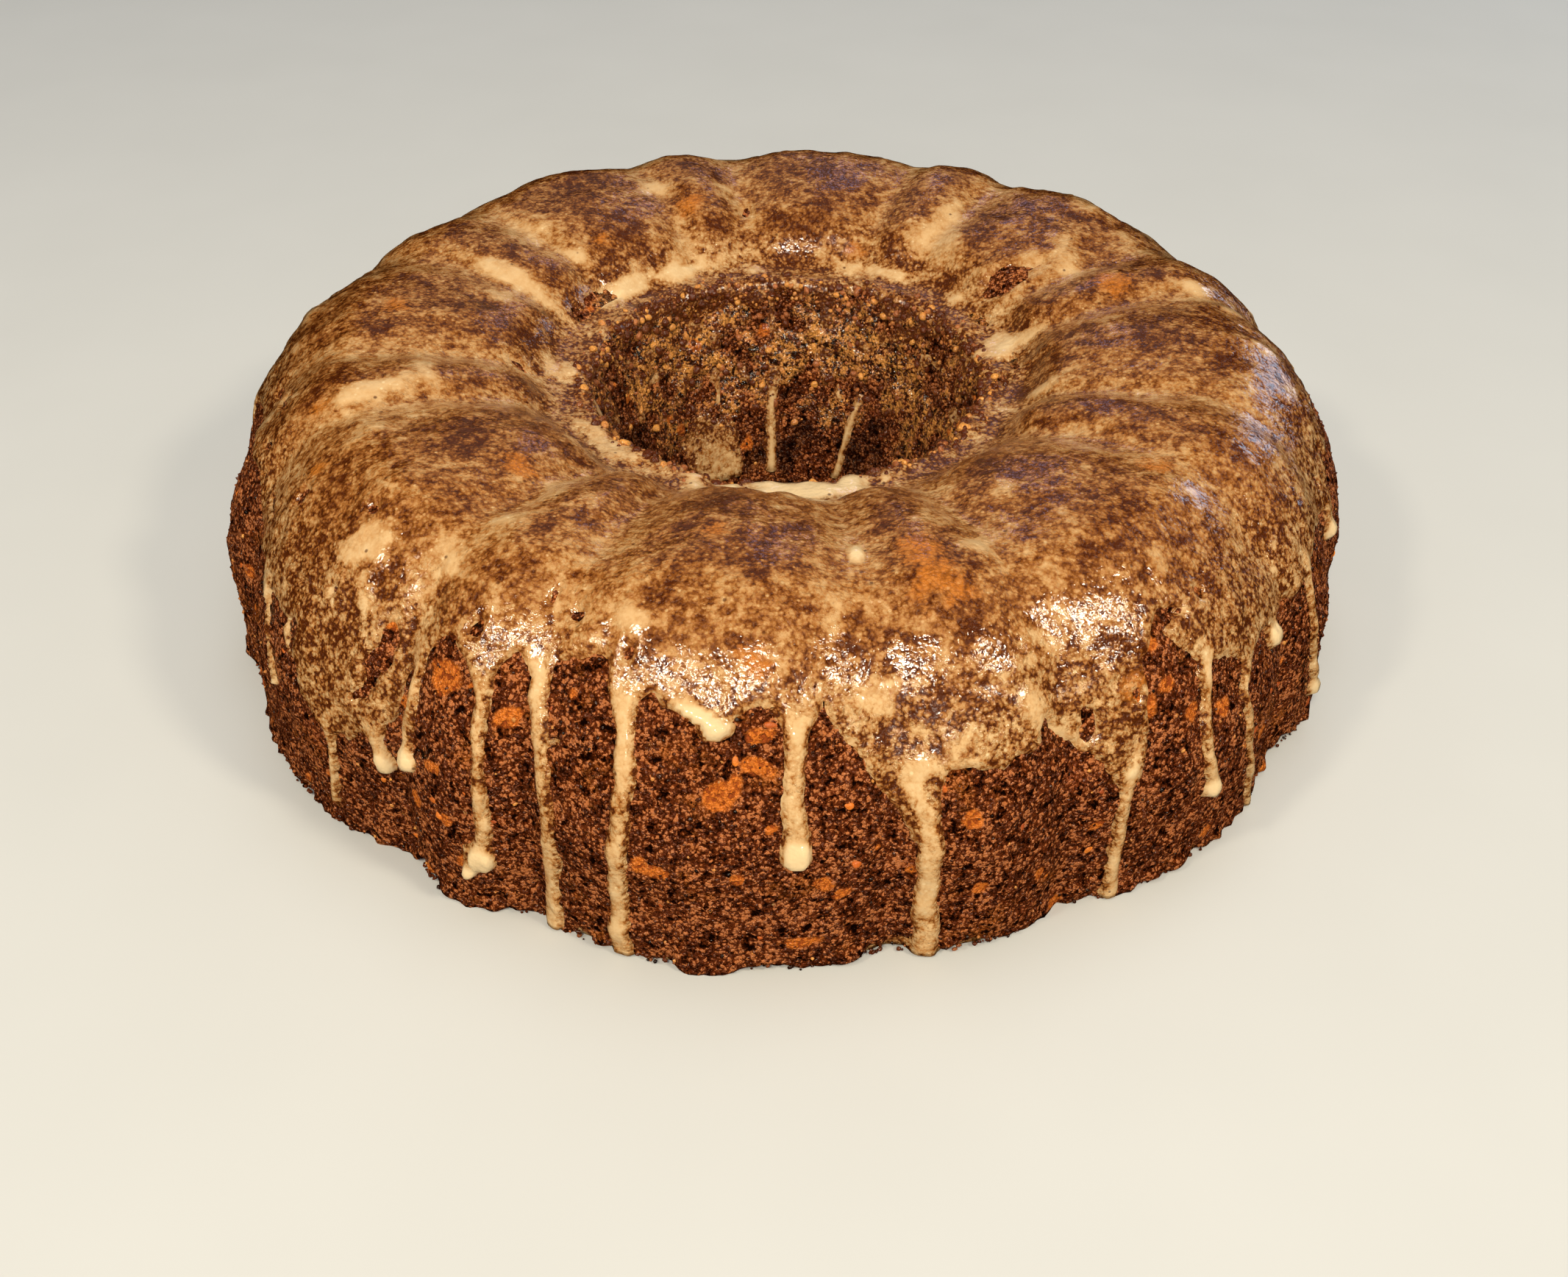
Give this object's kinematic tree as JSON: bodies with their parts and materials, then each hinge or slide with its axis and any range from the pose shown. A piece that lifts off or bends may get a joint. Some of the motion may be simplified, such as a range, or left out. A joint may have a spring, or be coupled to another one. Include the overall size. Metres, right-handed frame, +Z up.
{
  "type": "bundt cake",
  "caption": "Glazed dark fruit bundt cake: a fluted ring of alternating wide and narrow lobes round a tapered centre hole, with drips of pale glaze down its wall.",
  "frame": {"origin": "centre of the flat base, on the axis of the centre hole", "axes": "+Z up along the axis of the centre hole, -Y towards the front, which is the middle of the shown side"},
  "size_m": [0.2432, 0.2432, 0.061],
  "materials": {
    "cake": "dark brown moist open crumb with orange bits of fruit",
    "glaze": "thin translucent tan sugar glaze, wet and glossy, cream where it pools"
  },
  "bodies": {
    "root": {"bundt_cake": "cake"}
  },
  "joints": []
}
